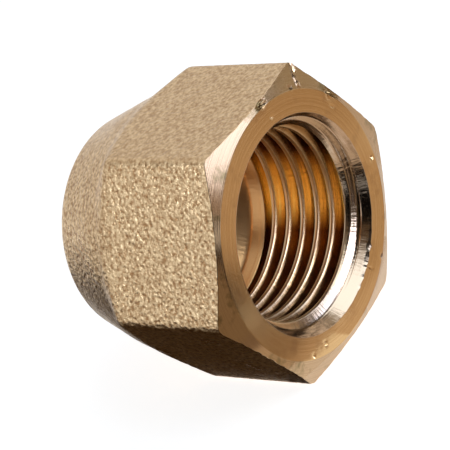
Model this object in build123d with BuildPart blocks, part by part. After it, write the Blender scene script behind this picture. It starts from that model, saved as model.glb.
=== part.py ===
from build123d import *
import math
import os

# Union nut: hot-forged brass hexagon with a tapered collar, G 1/2 internal thread at one end,
# then a cone seat and a plain tail hole. Lies on one flat, open face towards -Y, +Z up (mm).

os.makedirs("parts", exist_ok=True)

# ---- driving dimensions, mm and degrees -------------------------------------------------------
ACROSS_FLATS = 27.0       # spanner size
LENGTH = 22.7             # open face to the end of the collar
HEX_DEPTH = 13.1          # open face to the rear edge of the hexagon corners
CORNER_ROUND = 1.0        # forged round on the six long edges
FACE_INSET = 0.63         # the turned face stops this far inside the flats
CHAMFER_ANGLE = 16.0      # corner chamfer, measured from the open face
SHOULDER_ANGLE = 55.0     # rear of the corners, measured from the axis
SHOULDER_ROUND = 1.8      # forged round where the corners turn into that slope
FLAT_OVERRUN = 0.07       # the slope ends this far outside the flats
COLLAR_TAPER = 21.0       # half-angle of the collar
RIM_ROUND = 2.4           # round on the collar end

THREAD_MAJOR = 20.955     # G 1/2, ISO 228
THREAD_MINOR = 18.631     # crest diameter of the internal thread: the bore as drilled
MOUTH_CLEARANCE = 0.17    # radial, the entry cone opens this much past the major diameter
ENTRY_ANGLE = 30.0        # half-angle of the entry cone
THREAD_DEPTH = 12.3       # open face to the end of the groove the thread runs out into
RUNOUT_WIDTH = 0.8        # that groove
RUNOUT_CLEARANCE = 0.03   # radial, groove past the major diameter
LAND_LENGTH = 1.8         # plain bore between the groove and the seat
SEAT_ANGLE = 45.0         # half-angle of the cone seat that presses on the tail
TAIL_HOLE = 15.4          # diameter of the hole the tail pipe passes through
HOLE_BREAK = 0.3          # edge break at the outer end of the tail hole

# ---- dependent dimensions ---------------------------------------------------------------------
half_flats = ACROSS_FLATS / 2
corner_r = half_flats / math.cos(math.radians(30))
face_r = half_flats - FACE_INSET
chamfer_depth = (corner_r - face_r) * math.tan(math.radians(CHAMFER_ANGLE))
root_r = half_flats + FLAT_OVERRUN
root_depth = HEX_DEPTH + (corner_r - root_r) / math.tan(math.radians(SHOULDER_ANGLE))
rim_r = root_r - (LENGTH - root_depth) * math.tan(math.radians(COLLAR_TAPER))
mouth_r = THREAD_MAJOR / 2 + MOUTH_CLEARANCE
bore_r = THREAD_MINOR / 2
entry_depth = (mouth_r - bore_r) / math.tan(math.radians(ENTRY_ANGLE))
runout_r = THREAD_MAJOR / 2 + RUNOUT_CLEARANCE
runout_start = THREAD_DEPTH - RUNOUT_WIDTH
hole_r = TAIL_HOLE / 2
seat_depth = THREAD_DEPTH + LAND_LENGTH
hole_depth = seat_depth + (bore_r - hole_r) / math.tan(math.radians(SEAT_ANGLE))

# The nut's axis runs along +Y from the centre of the open face, one half of the spanner size up.
face_centre = (0, -LENGTH / 2, half_flats)
face_plane = Plane(origin=face_centre, x_dir=(1, 0, 0), z_dir=(0, 1, 0))
# In this plane x is the radius and y the depth below the open face.
radius_plane = Plane(origin=face_centre, x_dir=(1, 0, 0), z_dir=(0, 0, 1))
nut_axis = Axis(face_centre, (0, 1, 0))

with BuildPart() as union_nut:
    # Forged hexagon, as long as the whole nut, with soft long edges.
    with BuildSketch(face_plane):
        RegularPolygon(radius=half_flats, side_count=6, major_radius=False)
        fillet(vertices(), radius=CORNER_ROUND)
    extrude(amount=LENGTH)

    # Turned face, corner chamfer, rear slope and collar are one revolved outline.
    with BuildSketch(radius_plane):
        with BuildLine():
            Polyline(
                (0, 0),
                (face_r, 0),
                (corner_r, chamfer_depth),
                (corner_r, HEX_DEPTH),
                (root_r, root_depth),
                (rim_r, LENGTH),
                (0, LENGTH),
                close=True,
            )
        make_face()
        fillet(vertices().sort_by_distance(radius_plane.from_local_coords((corner_r, HEX_DEPTH, 0)))[0],
               radius=SHOULDER_ROUND)
        fillet(vertices().sort_by_distance(radius_plane.from_local_coords((rim_r, LENGTH, 0)))[0],
               radius=RIM_ROUND)
    revolve(axis=nut_axis, mode=Mode.INTERSECT)

    # Entry cone, drilled bore, run-out groove, cone seat and tail hole share one outline.
    with BuildSketch(radius_plane):
        with BuildLine():
            Polyline(
                (0, 0),
                (mouth_r, 0),
                (bore_r, entry_depth),
                (bore_r, runout_start),
                (runout_r, runout_start),
                (runout_r, THREAD_DEPTH),
                (bore_r, THREAD_DEPTH),
                (bore_r, seat_depth),
                (hole_r, hole_depth),
                (hole_r, LENGTH - HOLE_BREAK),
                (hole_r + HOLE_BREAK, LENGTH),
                (0, LENGTH),
                close=True,
            )
        make_face()
    revolve(axis=nut_axis, mode=Mode.SUBTRACT)

union_nut.part.label = "union_nut"
export_step(union_nut.part, "parts/union_nut.step")
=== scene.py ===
# %% [markdown]
# # A hot-forged brass union nut
#
# A union nut is stamped hot from a brass bar, shot-blasted clean, and then turned on a lathe.
# Only its open face, the bevel on its corners and the bore are cut metal. Everything else keeps
# the sandy forged skin. That contrast is what the eye reads as "brass fitting", so this lesson
# builds one closed mesh with the right tool path on each zone, and one finish for each process.

import math

import bmesh
import bpy
import numpy as np
from mathutils import Matrix, Vector


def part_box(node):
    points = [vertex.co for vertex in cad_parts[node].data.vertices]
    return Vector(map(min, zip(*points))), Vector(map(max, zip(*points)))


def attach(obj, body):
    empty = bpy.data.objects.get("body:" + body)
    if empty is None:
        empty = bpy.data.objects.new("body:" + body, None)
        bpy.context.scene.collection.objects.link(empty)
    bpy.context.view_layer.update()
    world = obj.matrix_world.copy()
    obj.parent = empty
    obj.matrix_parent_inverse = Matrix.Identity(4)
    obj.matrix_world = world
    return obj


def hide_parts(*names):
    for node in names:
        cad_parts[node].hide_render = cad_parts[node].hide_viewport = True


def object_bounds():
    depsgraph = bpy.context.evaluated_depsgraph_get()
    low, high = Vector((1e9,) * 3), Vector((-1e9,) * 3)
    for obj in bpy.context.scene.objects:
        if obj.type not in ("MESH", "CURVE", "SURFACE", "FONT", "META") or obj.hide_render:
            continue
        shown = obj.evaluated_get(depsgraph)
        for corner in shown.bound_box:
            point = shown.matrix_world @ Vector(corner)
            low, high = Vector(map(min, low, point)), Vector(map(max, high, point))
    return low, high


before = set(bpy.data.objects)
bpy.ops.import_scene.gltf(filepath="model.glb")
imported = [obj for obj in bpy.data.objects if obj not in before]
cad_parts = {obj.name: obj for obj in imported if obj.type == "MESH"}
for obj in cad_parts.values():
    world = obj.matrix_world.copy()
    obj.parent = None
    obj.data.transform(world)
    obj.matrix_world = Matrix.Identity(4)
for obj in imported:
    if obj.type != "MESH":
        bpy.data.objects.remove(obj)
cad_low, cad_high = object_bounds()
MM = 0.001
low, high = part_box("union_nut")
print("nut from", [round(v / MM, 2) for v in low], "to", [round(v / MM, 2) for v in high], "mm")

# %% [markdown]
# ## Sizes
#
# The nut lies on one flat with its axis level, so the solid's own box gives the distance
# across the flats, the length, the height of the axis and the plane of the open face.
# The sizes that a box can't tell, such as the bevel and the bore, are those of the solid.
# A point of the nut is given by its angle round the axis, its radius from the axis and its
# depth behind the open face, as a lathe operator would give it, in millimetres.

# %% Sizes in millimetres
FLATS = (high.z - low.z) / MM
LENGTH = (high.y - low.y) / MM
AXIS_HEIGHT = low.z / MM + FLATS / 2
OPEN_FACE = low.y / MM
HEX_DEPTH = 13.1
CORNER_ROUND = 1.0
FACE_RADIUS = 12.87
CHAMFER_ANGLE = math.radians(16.0)
SHOULDER_ANGLE = math.radians(55.0)
COLLAR_TAPER = math.radians(21.0)
COLLAR_RADIUS = 13.57
RIM_ROUND = 2.4
MOUTH_RADIUS = 10.6475
ENTRY_ANGLE = math.radians(30.0)
THREAD_END = 11.5
GROOVE_RADIUS = 10.5075
GROOVE_WIDTH = 0.8
GROOVE_END = THREAD_END + GROOVE_WIDTH
LAND_LENGTH = 1.8
HOLE_RADIUS = 7.7
HOLE_BREAK = 0.3
print("across flats", round(FLATS, 3), "length", round(LENGTH, 3))

# %% [markdown]
# ## The thread
#
# A half-inch parallel pipe thread has 14 turns to the inch and 55 degree flanks. The drill
# that went in first leaves its crests flat, and the tap rounds the bottoms of its grooves.
# It is right-handed, so seen from the open face it runs away from us as it turns clockwise.
# It could be a screw modifier on a profile, but a formula for the radius at any angle and
# depth also gives the lead-in, where the entry cone cuts the first turns away.

# %% Thread sizes and its profile
PITCH = 25.4 / 14
THREAD_MAJOR = 20.955 / 2
THREAD_MINOR = 18.631 / 2
FLANK = math.radians(27.5)
CREST_WIDTH = 0.36
FIRST_CREST = 1.98
ROOT_BLEND = 0.35
CREST_BLEND = 0.10
LEAD_IN_BLEND = 0.06


def soft_min(a, b, blend):
    """The smaller of two values, with a rounded corner where they cross."""
    near = np.clip(1 - np.abs(a - b) / blend, 0, None)
    return np.minimum(a, b) - near * near * blend / 4


def soft_max(a, b, blend):
    """The larger of two values, with a rounded corner where they cross."""
    return -soft_min(-a, -b, blend)


def crest_depth(angle):
    """Depth of the middle of the first crest below the open face, at an angle round the axis."""
    return FIRST_CREST - PITCH * angle / (2 * np.pi)


def thread_radius(angle, depth):
    """Radius of the tapped thread: a flat crest, straight flanks and a rounded groove."""
    along = (depth - crest_depth(angle) + PITCH / 2) % PITCH - PITCH / 2
    flank = THREAD_MINOR + (np.abs(along) - CREST_WIDTH / 2) / math.tan(FLANK)
    groove = soft_min(flank, np.full_like(flank, THREAD_MAJOR), ROOT_BLEND)
    return soft_max(groove, np.full_like(flank, THREAD_MINOR), CREST_BLEND)


def bore_radius(angle, depth):
    """The wall that is left where the entry cone and the thread are both cut."""
    cone = MOUTH_RADIUS - depth * math.tan(ENTRY_ANGLE)
    return soft_max(thread_radius(angle, depth), cone, LEAD_IN_BLEND)


print("pitch", round(PITCH, 3), "turns", round(THREAD_END / PITCH, 1))

# %% [markdown]
# ## The outside
#
# The hexagon's corners are slightly round because the die that forged them is. The radius of
# the skin at an angle is that of the hexagon or that of the sloping shoulder and the tapered
# collar behind it, whichever is smaller, and it blends where they meet, since hot metal never
# fills a sharp corner.

# %% Hexagon, shoulder and collar as radii
SIXTH = math.pi / 3
HALF_FLATS = FLATS / 2
CORNER_RADIUS = HALF_FLATS / math.cos(SIXTH / 2)
COLLAR_BLEND = 0.9
SKIN_BLEND = 1.1


def hexagon_radius(angle):
    """Distance from the axis to the hexagon with rounded corners."""
    off = np.abs((angle + SIXTH / 2) % SIXTH - SIXTH / 2)
    centre = CORNER_RADIUS - CORNER_ROUND / math.cos(SIXTH / 2)
    turn = math.atan2(CORNER_ROUND / 2, centre + CORNER_ROUND * math.cos(SIXTH / 2))
    inside = np.clip(CORNER_ROUND**2 - (centre * np.sin(off)) ** 2, 0, None)
    arc = centre * np.cos(off) + np.sqrt(inside)
    return np.where(off < turn, arc, HALF_FLATS / np.cos(SIXTH / 2 - off))


def collar_line(depth):
    """Radius of the tapered collar at a depth."""
    root_depth = HEX_DEPTH + (CORNER_RADIUS - COLLAR_RADIUS) / math.tan(SHOULDER_ANGLE)
    return COLLAR_RADIUS - (depth - root_depth) * math.tan(COLLAR_TAPER)


def skin_radius(angle, depth):
    """Radius of the forged skin: the hexagon, its sloping shoulder and the collar behind."""
    shoulder = CORNER_RADIUS - (depth - HEX_DEPTH) * math.tan(SHOULDER_ANGLE)
    behind = soft_max(shoulder, collar_line(depth), COLLAR_BLEND)
    return soft_min(hexagon_radius(angle), behind, SKIN_BLEND)


rim_depth = LENGTH - RIM_ROUND
rim_radius = collar_line(rim_depth) - RIM_ROUND / math.cos(COLLAR_TAPER)
print("corner radius", round(CORNER_RADIUS, 3), "rim centre", round(rim_radius, 3))

# %% [markdown]
# ## One closed mesh: its columns
#
# The nut's surface is one sheet of columns and rows, rolled up twice. A column is an angle
# round the axis, and a row is a ring at one step of a walk from the tail hole, through the
# bore, over the face and along the skin back to the tail hole. Columns stand closer at the
# six corners, where the outline bends.

# %% Columns
COLUMNS_AT_CORNER = 8
COLUMNS_ON_FLAT = 44
CORNER_ZONE = 2.6


def column_angles():
    """Angles round the axis, closest at the corners; the last column closes the ring."""
    corner = np.linspace(-CORNER_ZONE, CORNER_ZONE, COLUMNS_AT_CORNER + 1)[:-1]
    flat = np.linspace(CORNER_ZONE, 60 - CORNER_ZONE, COLUMNS_ON_FLAT + 1)[:-1]
    sixth = np.concatenate([corner, flat])
    ring = np.concatenate([sixth + 60 * k for k in range(6)] + [sixth[:1] + 360])
    return np.radians(ring)


angles = column_angles()
print(len(angles), "columns")

# %% [markdown]
# ## Chipped and torn edges
#
# Where the lathe tool leaves the metal it tears it a little. The bevel's outer edge crumbles
# into the sandy skin, and the edge of the mouth is nicked all round and badly torn on one
# side, towards the floor. Both are a random number for each column, smoothed over its
# neighbours, by which metal is missing. The seed is fixed, so each run gives the same nut.

# %% Chips and tears
EDGE_CHIP = 0.06
MOUTH_CHIP = 0.02
MOUTH_TEAR = 0.16
TEAR_ANGLE = 305
TEAR_SPREAD = 22
dice = np.random.default_rng(14)


def ragged(size):
    """Random heights of about this size, one for each column; the last equals the first."""
    raw = dice.standard_normal(len(angles) - 1)
    raw = (np.roll(raw, 1) + 2 * raw + np.roll(raw, -1)) / 4
    return size * np.abs(np.append(raw, raw[0]))


edge_chips = ragged(EDGE_CHIP)
from_tear = (np.degrees(angles) - TEAR_ANGLE + 180) % 360 - 180
tear_share = np.exp(-((from_tear / TEAR_SPREAD) ** 2))
mouth_tears = ragged(MOUTH_CHIP) + ragged(MOUTH_TEAR) * tear_share
bevel_edge = hexagon_radius(angles) - edge_chips
print("deepest chip", round(edge_chips.max(), 3), "deepest tear", round(mouth_tears.max(), 3))

# %% [markdown]
# ## Rows of the bore
#
# The walk starts at the tail hole's outer end and comes forward: the hole, the cone seat that
# a tube's end is pulled against, a short land, and the groove where the tap ran out. Two rows
# stand a few hundredths of a millimetre from each sharp edge, one on either side, so that the
# edge shades crisply. In the thread the rows follow the helix, so its crests stay crisp too: a
# row that would leave the thread is held at its end, and the doubled points are merged later.

# %% Tail hole, seat, land, groove and thread
HOLE_ROWS = 10
SEAT_ROWS = 6
LAND_ROWS = 7
ROWS_PER_PITCH = 18
GROOVE_CORNER = 0.1
TEAR_REACH = 0.25


def tail_rows():
    """From the tail hole's outer end forward: hole, seat cone, land and run-out groove."""
    land = GROOVE_END + LAND_LENGTH
    seat = land + THREAD_MINOR - HOLE_RADIUS
    hole_depths = np.linspace(LENGTH - HOLE_BREAK, seat + 0.04, HOLE_ROWS)
    seat_radii = np.linspace(HOLE_RADIUS + 0.2, THREAD_MINOR - 0.03, SEAT_ROWS)
    land_depths = np.linspace(land - 0.03, GROOVE_END + 0.05, LAND_ROWS)
    profile = [(HOLE_RADIUS, d) for d in hole_depths]
    profile += [(HOLE_RADIUS + 0.03, seat - 0.03)]
    profile += [(r, land + THREAD_MINOR - r) for r in seat_radii]
    profile += [(THREAD_MINOR, d) for d in land_depths]
    profile += [(THREAD_MINOR + 0.05, GROOVE_END)]
    profile += [(GROOVE_RADIUS - GROOVE_CORNER, GROOVE_END)]
    profile += [(GROOVE_RADIUS, GROOVE_END - GROOVE_CORNER)]
    profile += [(GROOVE_RADIUS, THREAD_END + GROOVE_CORNER)]
    profile += [(GROOVE_RADIUS - GROOVE_CORNER, THREAD_END)]
    return [(np.full_like(angles, r), np.full_like(angles, d)) for r, d in profile]


def thread_rows():
    """Rows along the helix from the run-out groove to the mouth."""
    rows = []
    turns = int(THREAD_END / PITCH) + 3
    for step in range(turns * ROWS_PER_PITCH, -2 * ROWS_PER_PITCH, -1):
        depth = crest_depth(angles) + step * PITCH / ROWS_PER_PITCH
        depth = np.clip(depth, 0.0, THREAD_END)
        tears = mouth_tears * np.clip(1 - depth / TEAR_REACH, 0, 1)
        rows.append((bore_radius(angles, depth) + tears, depth))
    return rows


bore = tail_rows() + thread_rows()
print(len(bore), "rows in the bore")

# %% [markdown]
# ## Rows of the face, the bevel and the skin
#
# The lathe cut the face flat and then the bevel on the six corners, which leaves the six
# curved scallops that every hexagon nut has: the bevel is a cone, and it ends where it meets
# the hexagon. The forged skin gets small random dents, so its outline isn't ruler-straight.

# %% Face, bevel and skin
FACE_ROWS = 11
BEVEL_ROWS = 13
SKIN_ROWS = 72
RIM_ROWS = 12
SKIN_DENT = 0.022


def face_rows():
    """The flat ring round the mouth."""
    rows = [(MOUTH_RADIUS + 0.05 + mouth_tears, np.full_like(angles, 0.0))]
    for r in np.linspace(MOUTH_RADIUS + 0.2, FACE_RADIUS - 0.04, FACE_ROWS):
        rows.append((np.full_like(angles, r), np.full_like(angles, 0.0)))
    return rows


def bevel_rows():
    """The bevel from the face out to the hexagon's edge."""
    rows = []
    for share in np.linspace(0.02, 1.0, BEVEL_ROWS):
        r = FACE_RADIUS + (bevel_edge - 0.03 - FACE_RADIUS) * share
        rows.append((r, (r - FACE_RADIUS) * math.tan(CHAMFER_ANGLE)))
    return rows


def skin_rows():
    """From the bevel's edge along the forged skin to the rim and the flat tail end."""
    front = (bevel_edge - FACE_RADIUS) * math.tan(CHAMFER_ANGLE) + 0.03
    tangent = rim_depth + RIM_ROUND * math.sin(COLLAR_TAPER)
    rows = []
    for share in np.linspace(0, 1, SKIN_ROWS):
        depth = front + (tangent - front) * share
        dents = edge_chips if share == 0 else ragged(SKIN_DENT)
        rows.append((skin_radius(angles, depth) - dents, depth))
    for turn in np.linspace(COLLAR_TAPER, math.pi / 2, RIM_ROWS)[1:]:
        r = rim_radius + RIM_ROUND * math.cos(turn)
        d = rim_depth + RIM_ROUND * math.sin(turn)
        rows.append((np.full_like(angles, r), np.full_like(angles, d)))
    rows.append((np.full_like(angles, HOLE_RADIUS + HOLE_BREAK), np.full_like(angles, LENGTH)))
    return rows


zones = [("bore", bore), ("face", face_rows()), ("chamfer", bevel_rows()), ("skin", skin_rows())]
rows = [row for name, part in zones for row in part]
zone_of_row = [name for name, part in zones for row in part]
radius = np.array([r for r, d in rows])
depth = np.array([d for r, d in rows])
print(len(angles), "columns,", len(rows), "rows")

# %% [markdown]
# ## Bruises and scratches
#
# Nuts are tipped into bins by the hundred, and their soft turned faces knock against each
# other. A bruise is a small patch of the face or the bevel where the metal is torn, and the
# top corner has a torn ridge across its bevel. Each is a zone of the mesh whose points are
# pushed in by random amounts, since a torn patch glitters only if its facets point all ways.

# %% Torn patches of the face
# An angle in degrees, then a radius, a width and a height in millimetres.
BRUISES = [
    (36.0, 12.9, 1.9, 1.2), (84.5, 13.2, 1.5, 0.9), (64.5, 13.2, 0.6, 0.5), (33.0, 12.1, 1.0, 0.3)]
SCRATCHES = [
    (-6.0, 12.4, 0.4, 0.6), (-60.5, 11.6, 0.3, 1.1), (-52.0, 12.9, 0.5, 0.3), (81.0, 11.45, 0.5, 0.3),
    (133.3, 11.2, 0.3, 1.3), (-112.0, 11.9, 0.35, 0.9), (-122.0, 12.5, 0.4, 0.4), (-117.0, 12.0, 0.3, 0.3)]
BRUISE_DEPTH = 0.24
SCRATCH_DEPTH = 0.3
RIDGE_ANGLE = 58.5
RIDGE_WIDTH = 0.22
RIDGE_HEIGHT = 0.20
RIDGE_DEPTH = 0.04


def nick_faces(radius, depth):
    """Tears the bruises, the scratches and the ridge into the face and the bevel."""
    turned = np.array([name in ("face", "chamfer") for name in zone_of_row])[:, None]
    marks = [(*mark, BRUISE_DEPTH) for mark in BRUISES]
    marks += [(*mark, SCRATCH_DEPTH) for mark in SCRATCHES]
    for angle, place, wide, tall, deepest in marks:
        around = (angles - math.radians(angle) + np.pi) % (2 * np.pi) - np.pi
        near = (around * place / (wide / 2)) ** 2 + ((radius - place) / (tall / 2)) ** 2
        torn = np.clip(1 - near, 0, 1) * turned
        depth += torn * dice.uniform(0, deepest, radius.shape)
    across = (angles - math.radians(RIDGE_ANGLE)) * radius
    ridge = np.exp(-((across / RIDGE_WIDTH) ** 2)) * turned
    rough = dice.uniform(-RIDGE_HEIGHT, RIDGE_DEPTH, radius.shape)
    depth += ridge * np.where(radius > FACE_RADIUS, rough, 0)
    # Nothing stands proud of the open face.
    np.maximum(depth, 0, out=depth)


nick_faces(radius, depth)
print(len(BRUISES), "bruises and", len(SCRATCHES), "scratches")

# %% [markdown]
# ## Turning rows into a mesh
#
# Each row is a ring of points. Neighbouring rings are joined by four-sided faces, the last
# ring joins the first, and merging doubles closes both the ring and the held thread rows.
# Each face keeps the number of its row, from which it gets its material later.

# %% Build the mesh
DOUBLED = 1e-7
NO_AREA = 1e-8
SHARP_EDGE = math.radians(28)


def build_mesh(name, radius, depth):
    """A mesh from rings of radius and depth; each face remembers its row."""
    count, columns = radius.shape
    x = radius * np.cos(angles)
    y = OPEN_FACE + depth
    z = AXIS_HEIGHT + radius * np.sin(angles)
    points = np.stack([x, y, z], axis=-1).reshape(-1, 3) * MM
    row, column = np.meshgrid(np.arange(count), np.arange(columns - 1), indexing="ij")
    here = row * columns + column
    after = (row + 1) % count * columns + column
    faces = np.stack([here, here + 1, after + 1, after], axis=-1).reshape(-1, 4)
    mesh = bpy.data.meshes.new(name)
    mesh.from_pydata(points.tolist(), [], faces.tolist())
    row_numbers = mesh.attributes.new("row", "INT", "FACE")
    row_numbers.data.foreach_set("value", row.reshape(-1).astype(np.int32))
    return mesh


def clean_mesh(mesh):
    """Merges doubled points, drops faces without area and turns every face outwards."""
    work = bmesh.new()
    work.from_mesh(mesh)
    bmesh.ops.remove_doubles(work, verts=work.verts, dist=DOUBLED)
    bmesh.ops.dissolve_degenerate(work, edges=work.edges, dist=NO_AREA)
    bmesh.ops.recalc_face_normals(work, faces=work.faces)
    open_edges = [edge for edge in work.edges if not edge.is_manifold]
    print("open or shared edges:", len(open_edges))
    work.to_mesh(mesh)
    work.free()


nut_mesh = build_mesh("union_nut_visual", radius, depth)
clean_mesh(nut_mesh)
nut = bpy.data.objects.new("union_nut_visual", nut_mesh)
bpy.context.collection.objects.link(nut)
for polygon in nut_mesh.polygons:
    polygon.use_smooth = True
nut_mesh.set_sharp_from_angle(angle=SHARP_EDGE)
triangles = sum(len(polygon.vertices) - 2 for polygon in nut_mesh.polygons)
print(len(nut_mesh.vertices), "points", triangles, "triangles")

# %% [markdown]
# ## Colours and nodes
#
# Colours are written as the hex values that a painter or a screen shows, and one function
# turns them into the linear light that the renderer adds up. One more function adds a node.
# A Mix node that mixes colours keeps them in its inputs 6 and 7 and its result in output 2.
# One that mixes numbers keeps them in 2 and 3. Noise lies mostly between 0.3 and 0.7, so a Map
# Range node that starts and ends within that stretches it to run from one extreme to the other.

# %% Colour and node helpers
COLOUR_A = 6
COLOUR_B = 7
MIXED = 2
NUMBER_A = 2
NUMBER_B = 3
NOISE_LOW = 0.3
NOISE_HIGH = 0.7


def linear(code):
    """A hex colour such as C8A878 as linear red, green, blue and full opacity."""
    channels = [int(code[i:i + 2], 16) / 255 for i in (0, 2, 4)]
    return [c / 12.92 if c <= 0.04045 else ((c + 0.055) / 1.055) ** 2.4 for c in channels] + [1.0]


def add(tree, kind, inputs=None, **settings):
    """Adds one node; inputs are plain values, or sockets to link from."""
    made = tree.nodes.new(kind)
    for name, value in settings.items():
        setattr(made, name, value)
    for name, value in (inputs or {}).items():
        if isinstance(value, bpy.types.NodeSocket):
            tree.links.new(value, made.inputs[name])
        else:
            made.inputs[name].default_value = value
    return made


def new_material(name):
    """An empty material with its node tree."""
    made = bpy.data.materials.new(name)
    made.use_nodes = True
    made.node_tree.nodes.clear()
    return made, made.node_tree


print("C8A878 in linear light is", [round(c, 2) for c in linear("C8A878")[:3]])

# %% [markdown]
# ## Shot-blasted forged skin
#
# After forging, the scale is blasted off with steel shot. Every hit leaves a dent of a third
# of a millimetre, so the brass is pale, matt from afar and glittering close up. Fine noise and
# round cells added together make the dents. The flat that lies on top is worn a little
# smoother, so both the dents and the mottled colour fade as the surface turns upwards.
# Brass is a metal: metallic is 1, its colour is the colour of its reflections, and the index
# of refraction keeps its default. The dents do most of the matting, so the roughness is small.

# %% Forged skin
SHOT_DENT = 0.34
SHOT_DEPTH = 0.095
CELL_SIZE = 1.1 * SHOT_DENT
CLOUD_SIZE = 4
MOTTLE_FROM = 0.35
MOTTLE_TO = 0.65
SKIN_SMOOTH = 0.26
SKIN_ROUGH = 0.38
WORN_SHARE = 0.62
WORN_FROM = 0.75
WORN_TO = 0.97


def forged_skin():
    """Brass as it comes from the shot-blasting drum: pale, sandy and half matt."""
    made, tree = new_material("shot_blasted_forged_brass")
    place = add(tree, "ShaderNodeTexCoord").outputs["Object"]
    grain = add(tree, "ShaderNodeTexNoise", {
        "Vector": place, "Scale": 1 / (SHOT_DENT * MM), "Detail": 3.0, "Roughness": 0.6})
    dents = add(tree, "ShaderNodeTexVoronoi", {
        "Vector": place, "Scale": 1 / (CELL_SIZE * MM)}, feature="SMOOTH_F1")
    cloud = add(tree, "ShaderNodeTexNoise", {
        "Vector": place, "Scale": 1 / (CLOUD_SIZE * MM), "Detail": 2.0})
    height = add(tree, "ShaderNodeMath", {
        0: grain.outputs["Fac"], 1: dents.outputs["Distance"]}, operation="ADD")
    outward = add(tree, "ShaderNodeNewGeometry").outputs["True Normal"]
    upward = add(tree, "ShaderNodeSeparateXYZ", {0: outward}).outputs["Z"]
    worn = add(tree, "ShaderNodeMapRange", {
        "Value": upward, "From Min": WORN_FROM, "From Max": WORN_TO,
        "To Min": 1.0, "To Max": WORN_SHARE}).outputs[0]
    bump = add(tree, "ShaderNodeBump", {
        "Strength": worn, "Distance": SHOT_DEPTH * MM, "Height": height.outputs[0]})
    tone = add(tree, "ShaderNodeMapRange", {
        "Value": grain.outputs["Fac"], "From Min": MOTTLE_FROM, "From Max": MOTTLE_TO})
    uneven = add(tree, "ShaderNodeMath", {0: tone.outputs[0], 1: 0.5}, operation="SUBTRACT")
    mottle = add(tree, "ShaderNodeMath", {
        0: uneven.outputs[0], 1: worn, 2: 0.5}, operation="MULTIPLY_ADD")
    colour = add(tree, "ShaderNodeMix", {
        0: mottle.outputs[0], COLOUR_A: linear("A47C54"), COLOUR_B: linear("F4D6AA")}, data_type="RGBA")
    gloss = add(tree, "ShaderNodeMapRange", {
        "Value": cloud.outputs["Fac"], "From Min": NOISE_LOW, "From Max": NOISE_HIGH,
        "To Min": SKIN_SMOOTH, "To Max": SKIN_ROUGH})
    metal = add(tree, "ShaderNodeBsdfPrincipled", {
        "Base Color": colour.outputs[MIXED], "Metallic": 1.0,
        "Roughness": gloss.outputs[0], "Normal": bump.outputs[0]})
    add(tree, "ShaderNodeOutputMaterial", {"Surface": metal.outputs[0]})
    return made


skin_brass = forged_skin()
print(skin_brass.name, "dents of", SHOT_DENT, "mm")

# %% [markdown]
# ## Turned face and bevel
#
# A lathe tool leaves fine rings round the axis. They spread a highlight across themselves,
# which is why a turned face shows a soft bow-tie of light. The rings are noise along one
# number, the radius plus the depth, which changes across every turned surface whether it is a
# flat, a cone or a cylinder. Cutting oil and fingers have left blotches of darker brass.

# %% Turned finishes
TOOL_MARK = 0.12
STAIN_SIZE = 2.4
STAINED_FROM = 0.54
STAINED_TO = 0.66
GLOSS_CHANGE = 0.05


def lathe_place(tree):
    """A point's place, how far along the axis it is, and how far from the axis."""
    place = add(tree, "ShaderNodeTexCoord").outputs["Object"]
    flat = add(tree, "ShaderNodeVectorMath", {0: place, 1: (1.0, 0.0, 1.0)}, operation="MULTIPLY")
    centred = add(tree, "ShaderNodeVectorMath", {
        0: flat.outputs[0], 1: (0.0, 0.0, AXIS_HEIGHT * MM)}, operation="SUBTRACT")
    reach = add(tree, "ShaderNodeVectorMath", {0: centred.outputs[0]}, operation="LENGTH")
    along = add(tree, "ShaderNodeSeparateXYZ", {0: place}).outputs["Y"]
    return place, along, reach.outputs["Value"]


def lathe_rings(tree, along, off_axis, spacing, detail):
    """Noise in rings round the axis, as a tool that feeds along the metal cuts them."""
    mark = add(tree, "ShaderNodeMath", {0: off_axis, 1: along}, operation="ADD").outputs[0]
    ring = add(tree, "ShaderNodeTexNoise", {
        "W": mark, "Scale": 1 / (spacing * MM), "Detail": detail}, noise_dimensions="1D")
    return ring.outputs["Fac"]


def turned_brass(name, dark, light, stained, roughness, mark_depth):
    """Brass cut on a lathe: rings in height, colour and gloss, and a few stains."""
    made, tree = new_material(name)
    place, along, off_axis = lathe_place(tree)
    ring = lathe_rings(tree, along, off_axis, TOOL_MARK, 2.0)
    bump = add(tree, "ShaderNodeBump", {
        "Strength": 1.0, "Distance": mark_depth * MM, "Height": ring})
    lines = add(tree, "ShaderNodeMapRange", {
        "Value": ring, "From Min": NOISE_LOW, "From Max": NOISE_HIGH})
    clean = add(tree, "ShaderNodeMix", {
        0: lines.outputs[0], COLOUR_A: linear(dark), COLOUR_B: linear(light)}, data_type="RGBA")
    blotch = add(tree, "ShaderNodeTexNoise", {
        "Vector": place, "Scale": 1 / (STAIN_SIZE * MM), "Detail": 5.0, "Roughness": 0.6})
    patch = add(tree, "ShaderNodeMapRange", {
        "Value": blotch.outputs["Fac"], "From Min": STAINED_FROM, "From Max": STAINED_TO})
    colour = add(tree, "ShaderNodeMix", {
        0: patch.outputs[0], COLOUR_A: clean.outputs[MIXED], COLOUR_B: linear(stained)}, data_type="RGBA")
    gloss = add(tree, "ShaderNodeMapRange", {
        "Value": ring, "To Min": roughness - GLOSS_CHANGE, "To Max": roughness + GLOSS_CHANGE})
    metal = add(tree, "ShaderNodeBsdfPrincipled", {
        "Base Color": colour.outputs[MIXED], "Metallic": 1.0,
        "Roughness": gloss.outputs[0], "Normal": bump.outputs[0]})
    add(tree, "ShaderNodeOutputMaterial", {"Surface": metal.outputs[0]})
    return made


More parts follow.
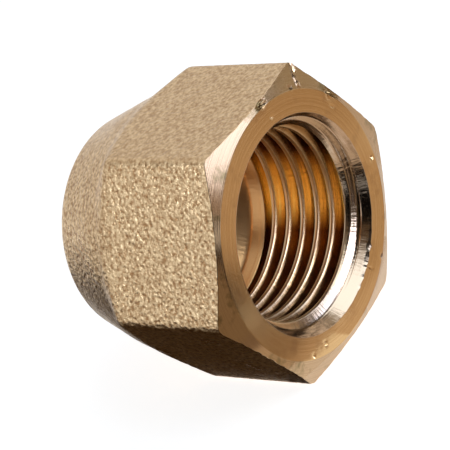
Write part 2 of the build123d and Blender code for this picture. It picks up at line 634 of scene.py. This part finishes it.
# A name, the dark and the light of the rings, the stains, a roughness and the rings' depth.
face_brass = turned_brass("faced_brass", "C8A26E", "DCBB8C", "C6A274", 0.25, 0.007)
bevel_brass = turned_brass("chamfered_brass", "B29474", "C2A684", "8E7A58", 0.15, 0.004)
print(face_brass.name, "and", bevel_brass.name, "rings of", TOOL_MARK, "mm")

# %% [markdown]
# ## The bore
#
# The drill leaves coarser rings than the facing tool, and it chatters, which tears short marks
# that run along the axis. The entry cone was cut last and is bright. The flat crests are the
# drilled wall. The tap pressed the grooves smooth, and a film of oil dulls them. On one side,
# chosen by the angle round the axis, the deep gold of light bouncing from flank to flank is a
# painted highlight in their colour. One material does all this, because the cone, the crests
# and the grooves merge into each other: it measures how deep a point is behind the face, and
# how far it is sunk below the wall that the drill and the cone left.

# %% Marks of drill and tap
DRILL_MARK = 0.30
CHATTER = 0.30
CHATTER_STRETCH = 0.2
BORE_MARK_DEPTH = 0.026
GROOVE_STARTS = 0.06
GROOVE_FULL = 0.32
CONE_ENDS = 1.9
MATT_BY = 2.4
THREAD_BY = 2.6
LAND_STARTS = GROOVE_END - 0.05


def around_axis(tree, place):
    """The angle of a point round the nut's axis."""
    parts = add(tree, "ShaderNodeSeparateXYZ", {0: place}).outputs
    rise = add(tree, "ShaderNodeMath", {0: parts["Z"], 1: AXIS_HEIGHT * MM}, operation="SUBTRACT")
    turn = add(tree, "ShaderNodeMath", {0: rise.outputs[0], 1: parts["X"]}, operation="ARCTAN2")
    return turn.outputs[0]


def chatter_marks(tree, turn, along):
    """Noise on the bore's wall, unrolled flat and drawn out along the axis."""
    around = add(tree, "ShaderNodeMath", {0: turn, 1: THREAD_MINOR * MM}, operation="MULTIPLY")
    streak = add(tree, "ShaderNodeMath", {0: along, 1: CHATTER_STRETCH}, operation="MULTIPLY")
    unrolled = add(tree, "ShaderNodeCombineXYZ", {0: around.outputs[0], 1: streak.outputs[0]})
    return add(tree, "ShaderNodeTexNoise", {
        "Vector": unrolled.outputs[0], "Scale": 1 / (CHATTER * MM), "Detail": 3.0}).outputs["Fac"]


def groove_share(tree, depth, off_axis):
    """0 on the wall that drill and cone left, and 1 well down in the tap's grooves."""
    cone = add(tree, "ShaderNodeMath", {
        0: depth, 1: -math.tan(ENTRY_ANGLE), 2: MOUTH_RADIUS * MM}, operation="MULTIPLY_ADD")
    wall = add(tree, "ShaderNodeMath", {0: cone.outputs[0], 1: THREAD_MINOR * MM}, operation="MAXIMUM")
    sunk = add(tree, "ShaderNodeMath", {0: off_axis, 1: wall.outputs[0]}, operation="SUBTRACT")
    return add(tree, "ShaderNodeMapRange", {
        "Value": sunk.outputs[0], "From Min": GROOVE_STARTS * MM,
        "From Max": GROOVE_FULL * MM}).outputs[0]


print("chatter", CHATTER, "mm round the bore,", round(CHATTER / CHATTER_STRETCH, 1), "mm along it")

# %% [markdown]
# ## Colours of the bore
#
# Five browns and a gold share the bore: the pale cone, the warmer crests, the warm land behind
# the thread, the two tones of the oil film in the grooves, and a painted highlight of gold on one side.
# Each is mixed in by a number from 0 to 1, worked out from the point's depth and radius, so
# one finish passes into the next over a few tenths of a millimetre, as it does in the metal.

# %% Bored finish
FILM_SIZE = 3.5
FILM_FROM = 0.38
FILM_TO = 0.62
# The angle and the spread of the painted highlight of gold in the grooves.
PAINTED_HIGHLIGHT_ANGLE = -0.29
PAINTED_HIGHLIGHT_FROM = 0.90
PAINTED_HIGHLIGHT_FULL = 0.985
SMOOTH = 0.17
DRILLED = 0.32


def groove_colour(tree, place, turn):
    """Oil-filmed brass, with a painted highlight of gold where the groove turns towards one side."""
    oil = add(tree, "ShaderNodeTexNoise", {
        "Vector": place, "Scale": 1 / (FILM_SIZE * MM), "Detail": 3.0})
    film = add(tree, "ShaderNodeMapRange", {
        "Value": oil.outputs["Fac"], "From Min": FILM_FROM, "From Max": FILM_TO})
    # The gold is painted light: the glow bounced between the flanks, placed by the angle round the axis.
    from_side = add(tree, "ShaderNodeMath", {0: turn, 1: -PAINTED_HIGHLIGHT_ANGLE}, operation="ADD")
    facing = add(tree, "ShaderNodeMath", {0: from_side.outputs[0]}, operation="COSINE")
    painted_highlight = add(tree, "ShaderNodeMapRange", {
        "Value": facing.outputs[0], "From Min": PAINTED_HIGHLIGHT_FROM, "From Max": PAINTED_HIGHLIGHT_FULL})
    filmed = add(tree, "ShaderNodeMix", {
        0: film.outputs[0], COLOUR_A: linear("94704A"), COLOUR_B: linear("B28C5E")}, data_type="RGBA")
    return add(tree, "ShaderNodeMix", {
        0: painted_highlight.outputs[0], COLOUR_A: filmed.outputs[MIXED],
        COLOUR_B: linear("FFE3A2")}, data_type="RGBA").outputs[MIXED]


def bored_brass():
    """Entry cone, crests, grooves, land and tail hole, each by its depth and its radius."""
    made, tree = new_material("bored_and_tapped_brass")
    place, along, off_axis = lathe_place(tree)
    ring = lathe_rings(tree, along, off_axis, DRILL_MARK, 3.0)
    turn = around_axis(tree, place)
    height = add(tree, "ShaderNodeMath", {0: ring, 1: chatter_marks(tree, turn, along)}, operation="ADD")
    bump = add(tree, "ShaderNodeBump", {
        "Strength": 1.0, "Distance": BORE_MARK_DEPTH * MM, "Height": height.outputs[0]})
    depth = add(tree, "ShaderNodeMath", {0: along, 1: OPEN_FACE * MM}, operation="SUBTRACT").outputs[0]
    deep = groove_share(tree, depth, off_axis)
    threaded = add(tree, "ShaderNodeMapRange", {
        "Value": depth, "From Min": CONE_ENDS * MM, "From Max": THREAD_BY * MM}).outputs[0]
    behind = add(tree, "ShaderNodeMath", {0: depth, 1: LAND_STARTS * MM}, operation="GREATER_THAN")
    tapped = add(tree, "ShaderNodeMath", {0: deep, 1: threaded}, operation="MULTIPLY")
    crest = add(tree, "ShaderNodeMix", {
        0: threaded, COLOUR_A: linear("D2BCA4"), COLOUR_B: linear("E4C8A2")}, data_type="RGBA")
    drilled = add(tree, "ShaderNodeMix", {
        0: behind.outputs[0], COLOUR_A: crest.outputs[MIXED], COLOUR_B: linear("E4B47C")}, data_type="RGBA")
    colour = add(tree, "ShaderNodeMix", {
        0: tapped.outputs[0], COLOUR_A: drilled.outputs[MIXED],
        COLOUR_B: groove_colour(tree, place, turn)}, data_type="RGBA")
    matt = add(tree, "ShaderNodeMapRange", {
        "Value": depth, "From Min": CONE_ENDS * MM, "From Max": MATT_BY * MM,
        "To Min": SMOOTH, "To Max": DRILLED})
    gloss = add(tree, "ShaderNodeMix", {0: deep, NUMBER_A: matt.outputs[0], NUMBER_B: SMOOTH})
    metal = add(tree, "ShaderNodeBsdfPrincipled", {
        "Base Color": colour.outputs[MIXED], "Metallic": 1.0,
        "Roughness": gloss.outputs[0], "Normal": bump.outputs[0]})
    add(tree, "ShaderNodeOutputMaterial", {"Surface": metal.outputs[0]})
    return made


bore_brass = bored_brass()
print(bore_brass.name, len(bore_brass.node_tree.nodes), "nodes")

# %% [markdown]
# ## A finish for each zone
#
# The four zones of rows get the four finishes. The nut then rides on its body and stands for
# the plain solid, which is hidden.

# %% Finishes and the frame
FINISHES = {"bore": bore_brass, "face": face_brass, "chamfer": bevel_brass, "skin": skin_brass}
for finish in FINISHES.values():
    nut_mesh.materials.append(finish)
face_row = np.zeros(len(nut_mesh.polygons), np.int32)
nut_mesh.attributes["row"].data.foreach_get("value", face_row)
finish_of_row = np.array([list(FINISHES).index(name) for name in zone_of_row], np.int32)
nut_mesh.polygons.foreach_set("material_index", finish_of_row[face_row])
nut_mesh.attributes.remove(nut_mesh.attributes["row"])
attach(nut, "root")
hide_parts("union_nut")
print("materials", [m.name for m in nut_mesh.materials])

# %% [markdown]
# ## Floor and white room
#
# The nut stands on white paper in a white room. Polished metal looks like whatever surrounds
# it, so paper and room are as white to the metal as to the camera, while the light that they
# cast on everything is much weaker. Light Path tells one kind of ray from the other.

# %% Floor and white room
FLOOR_SIZE = 1.2
FIBRES_ACROSS = 500.0
PAPER_GLOW = 0.76
ROOM_LIGHT = 0.18
X, Y, Z = (1, 0, 0), (0, 1, 0), (0, 0, 1)


def plane(name, centre, right, up, width, height, material):
    """A flat rectangle that faces right x up, in metres, and belongs to the stage."""
    to_side = Vector(right).normalized() * (width / 2)
    to_top = Vector(up).normalized() * (height / 2)
    signs = ((-1, -1), (1, -1), (1, 1), (-1, 1))
    corners = [Vector(centre) + to_side * side + to_top * top for side, top in signs]
    mesh = bpy.data.meshes.new(name)
    mesh.from_pydata([tuple(corner) for corner in corners], [], [(0, 1, 2, 3)])
    mesh.materials.append(material)
    made = bpy.data.objects.new(name, mesh)
    bpy.context.collection.objects.link(made)
    return made


def seen_directly(tree):
    """1 for rays from the camera, from a mirror or through glass, and 0 for the rest."""
    path = add(tree, "ShaderNodeLightPath").outputs
    mirrored = add(tree, "ShaderNodeMath", {
        0: path["Is Camera Ray"], 1: path["Is Glossy Ray"]}, operation="MAXIMUM")
    return add(tree, "ShaderNodeMath", {
        0: mirrored.outputs[0], 1: path["Is Transmission Ray"]}, operation="MAXIMUM").outputs[0]


def white_paper():
    """Matt paper with faint fibres, and a glow that only the camera and mirrors see."""
    made, tree = new_material("white_paper")
    fibre = add(tree, "ShaderNodeTexNoise", {"Scale": FIBRES_ACROSS, "Detail": 3.0})
    colour = add(tree, "ShaderNodeMix", {
        0: fibre.outputs["Fac"], COLOUR_A: linear("F0F0F0"), COLOUR_B: linear("F6F6F6")}, data_type="RGBA")
    paper = add(tree, "ShaderNodeBsdfDiffuse", {"Color": colour.outputs[MIXED]})
    strength = add(tree, "ShaderNodeMath", {0: seen_directly(tree), 1: PAPER_GLOW}, operation="MULTIPLY")
    glow = add(tree, "ShaderNodeEmission", {"Strength": strength.outputs[0]})
    both = add(tree, "ShaderNodeAddShader", {0: paper.outputs[0], 1: glow.outputs[0]})
    add(tree, "ShaderNodeOutputMaterial", {"Surface": both.outputs[0]})
    return made


plane("floor", (0, 0, low.z), X, Y, FLOOR_SIZE, FLOOR_SIZE, white_paper())
world = bpy.data.worlds.new("white_room")
bpy.context.scene.world = world
world.use_nodes = True
world.node_tree.nodes.clear()
room_light = add(world.node_tree, "ShaderNodeMapRange", {
    "Value": seen_directly(world.node_tree), "To Min": ROOM_LIGHT, "To Max": 1.0})
room = add(world.node_tree, "ShaderNodeBackground", {"Strength": room_light.outputs[0]})
add(world.node_tree, "ShaderNodeOutputWorld", {"Surface": room.outputs[0]})
print("floor", FLOOR_SIZE, "m wide, fibres of", round(FLOOR_SIZE / FIBRES_ACROSS / MM, 1), "mm")

# %% [markdown]
# ## Cards
#
# A shiny metal shows its surroundings, tinted. In an all-white room the turned brass would
# look flat and chalky, so a studio surrounds such a piece with dark and white boards, just
# outside the camera's view. The camera looks down on the upright face, so the face and the
# bevel mirror the floor in front of the nut, and the bore mirrors the floor and the walls.
# Each card stands where one part of the nut mirrors it, and only mirrors see it, so it neither
# blocks the lamps nor lights the floor.

# %% Card
def card(name, code, strength, centre, right, up, width, height):
    """A painted reflection, in millimetres: a glowing board that only mirrors see, and nothing else."""
    made, tree = new_material(name + "_paint")
    paint = add(tree, "ShaderNodeEmission", {"Color": linear(code), "Strength": strength})
    add(tree, "ShaderNodeOutputMaterial", {"Surface": paint.outputs[0]})
    place = [part * MM for part in centre]
    board = plane(name, place, right, up, width * MM, height * MM, made)
    board.visible_camera = False
    board.visible_diffuse = False
    board.visible_shadow = False


# %% [markdown]
# ## Cards on the floor
#
# The floor in front of the nut is a patchwork, because the six bevels, the face and the entry
# cone each mirror another piece of it, some of them only a few millimetres wide. The cards lie
# at slightly different heights, so that a small one covers the large one under it.

# %% Cards on the floor
# A name, a colour and its strength, the middle, and the sizes along X and Y.
FLOOR_CARDS = [
    # Brown and black boards on the left darken what faces down and to the left. The first, beside
    # and behind the nut, is painted shadow: the floor shaded by the nut, as the lower flat mirrors it.
    ("left_floor_card", "3A2A18", 1.0, (-59, 46, 0.2), 102, 108),
    ("left_near_floor_card", "1E160E", 1.0, (-57, -54, 0.2), 86, 92),
    ("left_front_floor_card", "9C866A", 1.0, (-8.5, -62, 0.2), 11, 76),
    # A narrow dark board in front gives the entry cone the dark patch on its right side.
    ("dark_floor_strip", "2C1C0A", 1.0, (0, -63, 0.2), 6, 74),
    ("dark_floor_patch", "281804", 1.0, (2.8, -50.5, 0.8), 9.5, 47),
    # A small dark one by the lowest corner is painted shadow, the floor shaded by the nut, and keeps white
    # specks off the shaded flat.
    ("corner_floor_card", "2A1E14", 1.0, (-11, -9.7, 0.3), 6, 3.4),
    # Small tan and white boards before and beside the open face tone the lower bevels.
    ("contact_floor_card", "FFFAF2", 1.1, (-7.5, -12.5, 0.6), 13, 2.1),
    ("right_contact_floor_card", "E2CEBA", 1.0, (6.5, -12.5, 0.6), 15, 2.1),
    ("near_floor_card", "96806A", 1.0, (-8, -18.8, 0.6), 16, 10.4),
    ("near_middle_floor_card", "84705C", 1.0, (4.5, -20.5, 0.7), 9, 7),
    ("under_face_floor_card", "C8B09A", 1.0, (-1, -14.7, 0.8), 12, 2.3),
    ("under_corner_floor_card", "DCC8B0", 1.0, (-11, -16.8, 0.7), 8, 6.4),
    ("right_contact_card", "EADCCA", 1.0, (44, -20, 0.6), 30, 16),
    ("lower_right_floor_card", "CCB498", 1.0, (18, -19.5, 0.6), 18, 12),
    # Larger tan boards in front and to the right tone the face and the lower bore.
    ("front_floor_card", "CDB49A", 1.0, (18, -44.3, 0.4), 30, 61.5),
    ("right_near_floor_card", "B89C7C", 1.0, (54, -51.5, 0.4), 42, 47),
    # Further away, a dark board on the left and two tan ones ahead and on the right.
    ("low_left_floor_card", "30261C", 1.0, (-90, -175, 0.3), 220, 150),
    ("far_floor_card", "9E8262", 1.0, (50, -165, 0.3), 60, 170),
    ("right_floor_card", "C8BCA4", 1.0, (150, -110, 0.3), 140, 140)]

for name, code, strength, centre, width, length in FLOOR_CARDS:
    card(name, code, strength, centre, X, Y, width, length)
print(len(FLOOR_CARDS), "cards on the floor")

# %% [markdown]
# ## Upright cards
#
# Where the metal is turned further up it mirrors the walls. Dark ones on three sides keep it
# brown, and three bright glowing boards paint a white highlight on a bevel, the entry cone and the thread.

# %% Upright cards
# A name, a colour and its strength, the middle, the axis that it runs along, and its sizes.
UPRIGHT_CARDS = [
    # Dark walls in front, and a white board over them that paints a highlight on the entry cone's lower
    # side.
    ("front_wall_card", "403628", 1.0, (0, -270, 75), X, 800, 150),
    ("high_white_card", "F4F4FF", 1.15, (55, -262, 205), X, 150, 100),
    ("left_front_wall_card", "2C241A", 1.0, (-200, -268, 250), X, 360, 300),
    # Walls to the right and to the left.
    ("right_wall_card", "5A4C3C", 1.0, (250, -130, 75), Y, 280, 150),
    ("right_high_card", "A89A84", 1.0, (250, -130, 205), Y, 280, 110),
    ("left_wall_card", "060402", 1.0, (-200, -150, 85), Y, 220, 170),
    ("left_high_card", "5E4C38", 1.0, (-220, -130, 280), Y, 280, 240)]

for name, code, strength, centre, along, width, height in UPRIGHT_CARDS:
    card(name, code, strength, centre, along, Z, width, height)
# A dark flag behind the nut, and two bright boards that paint highlights: one on the left bevel, one on the
# thread.
card("back_flag", "14100C", 1.0, (-130, 180, 200), (0.8, 0.6, 0), (0.4, -0.5, 0.75), 120, 100)
card("low_white_card", "D4E0FF", 4.1, (72, -143, 27), (0.88, 0.47, 0), Z, 75, 37)
card("thread_white_card", "E6ECFF", 8.0, (40, -255, 62), X, Z, 130, 100)

# %% [markdown]
# ## Softboxes
#
# Two soft lamps light the sandy skin: a large one in front and above, and a small one behind
# on the left that draws the edge of the collar. They are a little blue, because the light that
# brass sends back is warm, and the skin has to come out as a neutral straw.

# %% Softboxes
LAMP_COLOUR = (0.74, 0.86, 1.0)


def softbox(name, direction, distance, width, height, power):
    """A rectangular lamp that points at the nut, in millimetres and watts."""
    lamp = bpy.data.lights.new(name, "AREA")
    lamp.shape = "RECTANGLE"
    lamp.size = width * MM
    lamp.size_y = height * MM
    lamp.energy = power
    lamp.color = LAMP_COLOUR
    made = bpy.data.objects.new(name, lamp)
    bpy.context.collection.objects.link(made)
    toward = Vector(direction).normalized()
    made.location = Vector((0, 0, AXIS_HEIGHT * MM)) + toward * (distance * MM)
    made.rotation_mode = "QUATERNION"
    made.rotation_quaternion = toward.to_track_quat("Z", "Y")
    return made


key = softbox("key_softbox", (0.369, -0.527, 0.766), 280, 340, 280, 0.38)
rim = softbox("rim_softbox", (-0.75, 0.25, 0.60), 300, 60, 60, 0.125)
print("lamps", [(lamp.name, round(lamp.data.energy, 3), "W") for lamp in (key, rim)])

# %% [markdown]
# ## Camera
#
# A long lens looks down on the open face from the left, so the hexagon's long edges stay
# nearly parallel. The camera is rolled to one side, and the level nut seems to tip forward.

# %% Camera
AZIMUTH = math.radians(-43.407)
ELEVATION = math.radians(29.633)
ROLL = math.radians(26.157)
DISTANCE = 199.195 * MM
AIM = Vector((0.395, -0.823, -0.574)) * MM
FOCAL = 162.37
SENSOR = 36.0

aimed_at = (cad_low + cad_high) / 2 + AIM
flat_x = math.sin(AZIMUTH) * math.cos(ELEVATION)
flat_y = -math.cos(AZIMUTH) * math.cos(ELEVATION)
back = Vector((flat_x, flat_y, math.sin(ELEVATION)))
level = Vector((math.cos(AZIMUTH), math.sin(AZIMUTH), 0))
upright = back.cross(level)
right = level * math.cos(ROLL) - upright * math.sin(ROLL)
up = level * math.sin(ROLL) + upright * math.cos(ROLL)
lens = bpy.data.cameras.new("camera")
lens.lens = FOCAL
lens.sensor_width = SENSOR
lens.clip_start = 0.01
lens.clip_end = 10.0
camera = bpy.data.objects.new("camera", lens)
bpy.context.collection.objects.link(camera)
turned = Matrix((right, up, back)).transposed().to_4x4()
camera.matrix_world = Matrix.Translation(aimed_at + back * DISTANCE) @ turned
bpy.context.scene.camera = camera
bpy.context.scene.view_settings.view_transform = "Standard"
print("camera at", [round(v / MM, 1) for v in camera.location], "mm")

# %% [markdown]
# ## Bringing the scene up to date
#
# The view layer is brought up to date. The visual model has to stay inside the box of
# the solid that it stands for.

# %% Update the view layer
bpy.context.view_layer.update()
